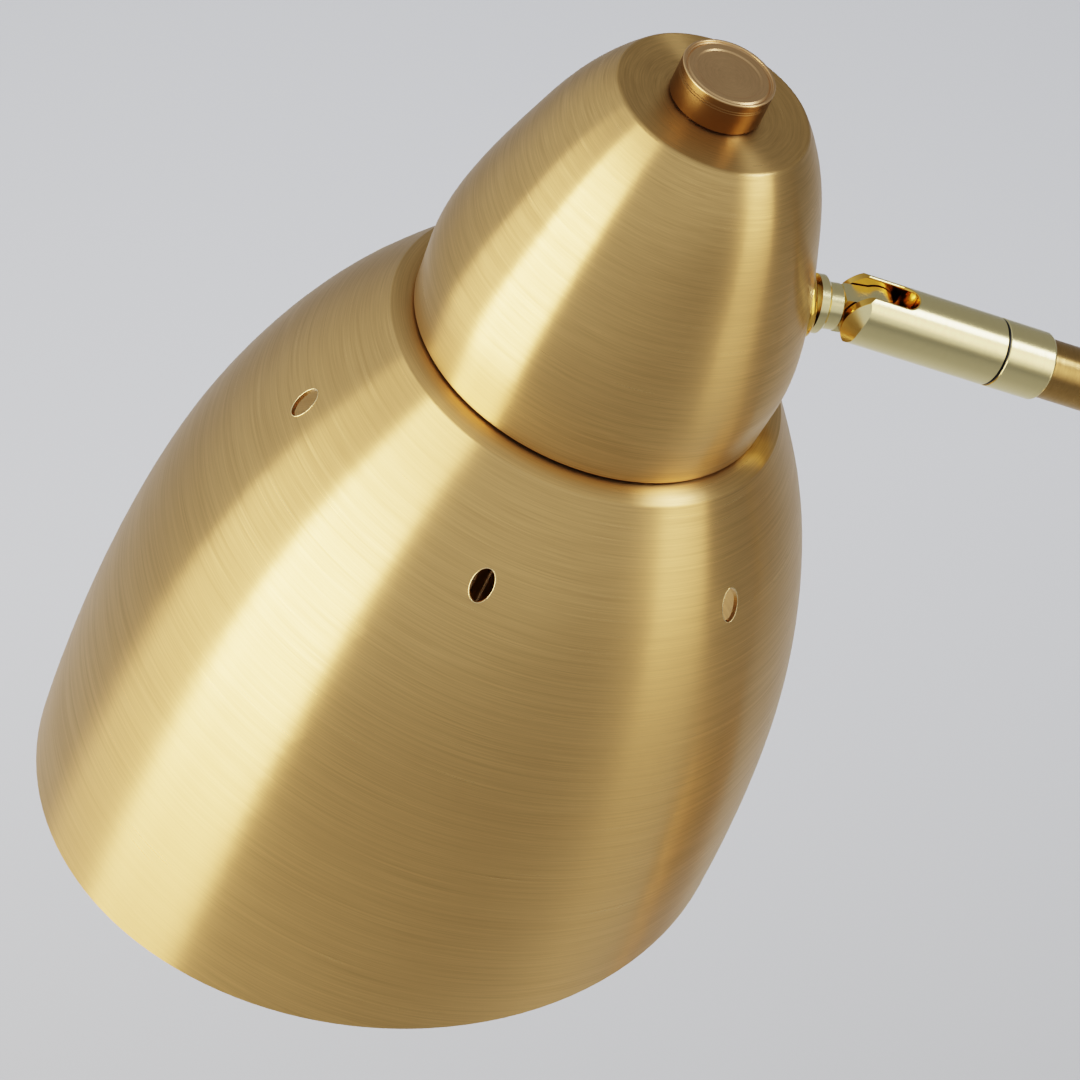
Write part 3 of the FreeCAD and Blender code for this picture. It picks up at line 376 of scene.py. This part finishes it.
# The fork's slot and rounded ends turn gold: real polish, and partly a painted reflection of the shade.
polish_inside_and_paint_reflection(fork_brass, GOLD)
stub_brass = turned_metal("stub_brass", PALE_BRASS, ABOUT_STUB, roughness=0.24, stretch=0.2,
                          line_width=0.3 * MM, contrast=0.03, depth_mm=0.0002)
tube_brass = antique_metal("tube_brass", ABOUT_ARM)
column_brass = antique_metal("column_brass", ABOUT_COLUMN)
yoke_brass = turned_metal("yoke_brass", PALE_BRASS, ABOUT_COLUMN, roughness=0.25, stretch=0.5,
                          line_width=0.3 * MM, contrast=0.04)
base_brass = turned_metal("base_brass", BRASS, ABOUT_COLUMN, roughness=0.34, stretch=0.85,
                          line_width=0.4 * MM, contrast=0.10, coat=0.2)
gold = mottled("polished_gold", GOLD, roughness=0.09, grain=900.0, contrast=0.04, bump_mm=0.001, Metallic=1.0)
steel = mottled("zinc_steel", ZINC, roughness=0.32, grain=900.0, contrast=0.08, bump_mm=0.004, Metallic=1.0)
cast_iron = mottled("cast_iron", IRON, roughness=0.6, grain=500.0, contrast=0.2, bump_mm=0.05, Metallic=1.0)
black_plastic = mottled("black_plastic", BLACK, roughness=0.38, grain=900.0, contrast=0.2, bump_mm=0.01)
black_rubber = mottled("black_rubber", RUBBER_BLACK, roughness=0.7, grain=700.0, contrast=0.25, bump_mm=0.02)
black_paint = mottled("black_paint", PAINT_BLACK, roughness=0.45, grain=300.0, contrast=0.2, bump_mm=0.02)
felt = mottled("felt", FELT_BLACK, roughness=0.95, grain=1400.0, contrast=0.5, bump_mm=0.2, Sheen_Weight=0.4)
porcelain = mottled("porcelain", CERAMIC_WHITE, roughness=0.2, grain=300.0, contrast=0.03, bump_mm=0.01)
lip_brass = mottled("lip_brass", BRIGHT_BRASS, roughness=0.3, grain=900.0, contrast=0.05, bump_mm=0.001,
                    Metallic=1.0)
contact_brass = mottled("contact_brass", CONTACT_BRASS, roughness=0.28, grain=900.0, contrast=0.08,
                        bump_mm=0.003, Metallic=1.0)
bulb_metal = mottled("bulb_metal", NICKEL, roughness=0.25, grain=600.0, contrast=0.06, bump_mm=0.004,
                     Metallic=1.0)
bulb_glass = mottled("bulb_glass", AMBER, roughness=0.03, grain=60.0, contrast=0.01, bump_mm=0.001,
                     Transmission_Weight=1.0, IOR=1.2)
strips = mottled("bulb_strips", STRIP_YELLOW, roughness=0.45, grain=900.0, contrast=0.1, bump_mm=0.01)

FINISHES = {
    shade_brass: ["cap_shell", "shade_shell"],
    base_brass: ["base_cover"],
    knob_brass: ["switch_knob"],
    barrel_brass: ["arm_collar", "arm_knuckle"],
    fork_brass: ["head_fork"],
    stub_brass: ["hinge_stub"],
    tube_brass: ["arm_tube"],
    column_brass: ["column_tube"],
    yoke_brass: ["column_yoke", "column_bush", "column_flange"],
    gold: ["saddle_washer", "lift_pin", "lift_nut", "lift_washers", "tilt_pin"],
    steel: ["base_screws", "weight_washer", "weight_nut", "column_nipple", "column_plug", "spigot_clip",
            "roll_spindle", "roll_washer", "roll_nut", "stud_nut", "inner_saddle", "holder_bracket",
            "holder_nipple", "nipple_nut", "switch_bush", "switch_washer", "switch_nut", "switch_shaft"],
    cast_iron: ["base_weight"],
    black_paint: ["base_plate"],
    felt: ["felt_pad"],
    black_rubber: ["cable_grommet"],
    black_plastic: ["holder_housing", "holder_sleeve", "shade_ring", "switch_body", "swing_washer",
                    "seam_washer"],
    porcelain: ["holder_core"],
    contact_brass: ["screw_shell", "centre_contact"],
    bulb_metal: ["bulb_base"],
    bulb_glass: ["bulb_globe"],
    strips: ["bulb_mount"],
}


def dress_nodes():
    """Gives every CAD node its finish."""
    for material, names in FINISHES.items():
        for name in names:
            for slot in frame["nodes"][name].material_slots:
                slot.link = "OBJECT"
                slot.material = material


# ---------------------------------------------------------------- raised lips round the vents
# Heights and radii are about the shade's axis, from the knob's top. Angles are in degrees.
VENT_COUNT = 6
VENT_START = 185.6
VENT_RADIUS = 56.6 * MM
VENT_HEIGHT = -102.1 * MM
VENT_LEAN = 25.0
VENT_HALF_WIDTH = 2.3 * MM
VENT_HALF_HEIGHT = 3.8 * MM
CLEAR_OF_WALL = 12 * MM
LIP_OFF_EDGE = 0.12 * MM
LIP_RADIUS = 0.12 * MM
LIP_STEPS = 40
LIP_SIDES = 8
SHADE_TURN = Matrix((STUB_AXIS, SIDE_AXIS, SHADE_AXIS)).transposed()


def vent_outline(tree, turn):
    """Points round one vent on the shade's outer face, just outside the hole's edge."""
    lean = math.radians(VENT_LEAN)
    out = Vector((math.cos(lean), 0, math.sin(lean)))
    down = Vector((math.sin(lean), 0, -math.cos(lean)))
    across = Vector((0, 1, 0))
    centre = Vector((VENT_RADIUS, 0, VENT_HEIGHT)) + out * CLEAR_OF_WALL
    spin = SHADE_TURN @ Matrix.Rotation(math.radians(turn), 3, "Z")
    points = []
    for i in range(LIP_STEPS):
        angle = 2 * math.pi * i / LIP_STEPS
        start = centre + down * (VENT_HALF_HEIGHT + LIP_OFF_EDGE) * math.cos(angle)
        start = start + across * (VENT_HALF_WIDTH + LIP_OFF_EDGE) * math.sin(angle)
        points.append(tree.ray_cast(KNOB_TOP + spin @ start, spin @ -out)[0])
    return points


def ring_tube(name, points):
    """A thin tube that runs round the points and back to the first."""
    middle = sum(points, Vector()) / len(points)
    outward = middle - KNOB_TOP - SHADE_AXIS * (middle - KNOB_TOP).dot(SHADE_AXIS)
    outward = outward.normalized()
    verts = []
    faces = []
    for i, point in enumerate(points):
        along = (points[(i + 1) % LIP_STEPS] - points[i - 1]).normalized()
        side = along.cross(outward).normalized()
        here = i * LIP_SIDES
        ahead = (i + 1) % LIP_STEPS * LIP_SIDES
        for j in range(LIP_SIDES):
            angle = 2 * math.pi * j / LIP_SIDES
            verts.append(point + (side * math.cos(angle) + outward * math.sin(angle)) * LIP_RADIUS)
            beside = (j + 1) % LIP_SIDES
            faces.append((here + j, ahead + j, ahead + beside, here + beside))
    mesh = bpy.data.meshes.new(name)
    mesh.from_pydata(verts, [], faces)
    mesh.shade_smooth()
    return mesh


def add_lips():
    """A fine raised lip round every vent, half sunk in the wall's face."""
    shade = frame["nodes"]["shade_shell"]
    tree = BVHTree.FromPolygons([shade.matrix_world @ vertex.co for vertex in shade.data.vertices],
                                [polygon.vertices[:] for polygon in shade.data.polygons])
    for i in range(VENT_COUNT):
        name = f"vent_lip_{i + 1}"
        mesh = ring_tube(name, vent_outline(tree, VENT_START + 360 / VENT_COUNT * i))
        mesh.materials.append(lip_brass)
        lip = bpy.data.objects.new(name, mesh)
        bpy.context.scene.collection.objects.link(lip)
        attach(lip, "head")


# ---------------------------------------------------------------- floor
# The floor's colour is painted shade: it turns from dark to light away from the front, and later on the
# right. Places are in metres.
FLOOR_HALF = 6.0
FLOOR_SHADED = (0.31, 0.325, 0.35, 1)
FLOOR_LIGHT = (0.51, 0.53, 0.58, 1)
FLOOR_TURNS = (-0.3, 0.55)
FLOOR_RIGHT = (0.15, 0.7)
FLOOR_RIGHT_DELAY = 0.6
FLOOR_CLOUD_SCALE = 6.0
FLOOR_CLOUD_DEPTH = 0.02
FLOOR_ROUGHNESS = 0.85


# Painted shade: the floor is darker towards the front and the right.
def floor_painted_shade():
    nodes = new_nodes("floor_painted_shade")
    place = nodes.place()
    x, y, _ = nodes.parts(place)
    cloud = nodes.maths("MULTIPLY", nodes.noise(place, FLOOR_CLOUD_SCALE), FLOOR_CLOUD_DEPTH)
    delay = nodes.span(x, *FLOOR_RIGHT, 0.0, FLOOR_RIGHT_DELAY)
    depth = nodes.maths("SUBTRACT", nodes.maths("ADD", y, cloud), delay)
    tone = nodes.span(depth, *FLOOR_TURNS, 0.0, 1.0)
    nodes.dress(Base_Color=nodes.blend(tone, FLOOR_SHADED, FLOOR_LIGHT), Roughness=FLOOR_ROUGHNESS)
    return nodes.material


def add_floor():
    half = FLOOR_HALF
    corners = [(-half, -half, 0), (half, -half, 0), (half, half, 0), (-half, half, 0)]
    mesh = bpy.data.meshes.new("floor")
    mesh.from_pydata(corners, [], [(0, 1, 2, 3)])
    mesh.materials.append(floor_painted_shade())
    floor = bpy.data.objects.new("floor", mesh)
    bpy.context.scene.collection.objects.link(floor)


# ---------------------------------------------------------------- light
# Sizes and places are in metres. DIM_RANGE is how nearly a direction is DIM_DIRECTION: 1 is the same way.
SHADE_CENTRE_DEPTH = 120 * MM
WARM_LIGHT = (1.0, 0.855, 0.62)
HINGE_LIGHT_OUT = Vector((0.79, -0.25, 0.54)).normalized()
HINGE_LIGHT_DISTANCE = 1.2
HINGE_LIGHT_SIZE = 0.36
BACKDROP_LIGHT_PLACE = (-0.3, 0.6, 0.95)
BACKDROP_LIGHT_SIZE = 0.5
STUDIO_COLOUR = (0.98, 0.99, 1.0, 1)
STUDIO_STRENGTH = 0.60
DIM_STRENGTH = 0.24
DIM_DIRECTION = (0.63, 0.60, 0.49)
DIM_RANGE = (0.1, 0.9)


def add_softbox(name, width, height, power):
    data = bpy.data.lights.new(name, "AREA")
    data.shape = "RECTANGLE"
    data.size = width
    data.size_y = height
    data.energy = power
    light = bpy.data.objects.new(name, data)
    bpy.context.scene.collection.objects.link(light)
    return light


def around_shade(azimuth, lean):
    """A direction from the shade's axis, in degrees: azimuth from the hinge's side, lean towards the knob."""
    turn = math.radians(azimuth)
    rise = math.radians(lean)
    level = STUB_AXIS * math.cos(turn) + PIN_AXIS * math.sin(turn)
    return (level * math.cos(rise) + SHADE_AXIS * math.sin(rise)).normalized()


def add_shade_light(name, azimuth, lean, distance, width, height, power):
    """A warm softbox that faces the shade, with its height along the shade's axis."""
    light = add_softbox(name, width, height, power)
    light.data.color = WARM_LIGHT
    out = around_shade(azimuth, lean)
    up = (SHADE_AXIS - out * SHADE_AXIS.dot(out)).normalized()
    turn = Matrix((up.cross(out), up, out)).transposed()
    centre = KNOB_TOP - SHADE_AXIS * SHADE_CENTRE_DEPTH
    light.matrix_world = Matrix.Translation(centre + out * distance) @ turn.to_4x4()


def add_hinge_light(power):
    """A small softbox, high on the column's side, for the top of the fork and the collar."""
    light = add_softbox("barrel_light", HINGE_LIGHT_SIZE, HINGE_LIGHT_SIZE, power)
    turn = HINGE_LIGHT_OUT.to_track_quat("Z", "Y").to_matrix()
    place = TILT_PIVOT + HINGE_LIGHT_OUT * HINGE_LIGHT_DISTANCE
    light.matrix_world = Matrix.Translation(place) @ turn.to_4x4()


def add_backdrop_light(power):
    """A softbox above the floor behind the lamp, which the brass doesn't mirror."""
    light = add_softbox("backdrop", BACKDROP_LIGHT_SIZE, BACKDROP_LIGHT_SIZE, power)
    light.visible_glossy = False
    light.location = BACKDROP_LIGHT_PLACE


def add_world():
    """An even studio, dimmer above and behind the column."""
    world = bpy.data.worlds.new("studio")
    world.use_nodes = True
    tree = world.node_tree
    background = tree.nodes["Background"]
    background.inputs["Color"].default_value = STUDIO_COLOUR
    place = tree.nodes.new("ShaderNodeTexCoord")
    facing = tree.nodes.new("ShaderNodeVectorMath")
    facing.operation = "DOT_PRODUCT"
    facing.inputs[1].default_value = DIM_DIRECTION
    level = tree.nodes.new("ShaderNodeMapRange")
    level.interpolation_type = "SMOOTHSTEP"
    for value, socket in zip((0.0, *DIM_RANGE, STUDIO_STRENGTH, DIM_STRENGTH), level.inputs):
        socket.default_value = value
    tree.links.new(place.outputs["Generated"], facing.inputs[0])
    tree.links.new(facing.outputs["Value"], level.inputs[0])
    tree.links.new(level.outputs[0], background.inputs["Strength"])
    bpy.context.scene.world = world


dress_nodes()
add_lips()
add_floor()
add_world()
add_shade_light("key_left", azimuth=-162.0, lean=-8.0, distance=1.1, width=0.64, height=1.1, power=13.0)
add_shade_light("key_soft", azimuth=172.0, lean=-16.0, distance=1.15, width=0.66, height=1.0, power=3.0)
add_shade_light("fill_right", azimuth=-34.0, lean=26.0, distance=1.2, width=0.5, height=1.0, power=2.3)
add_hinge_light(2.2)
add_backdrop_light(6.2)
add_camera()
bpy.context.scene.view_settings.view_transform = "Filmic"
bpy.context.scene.view_settings.look = "High Contrast"
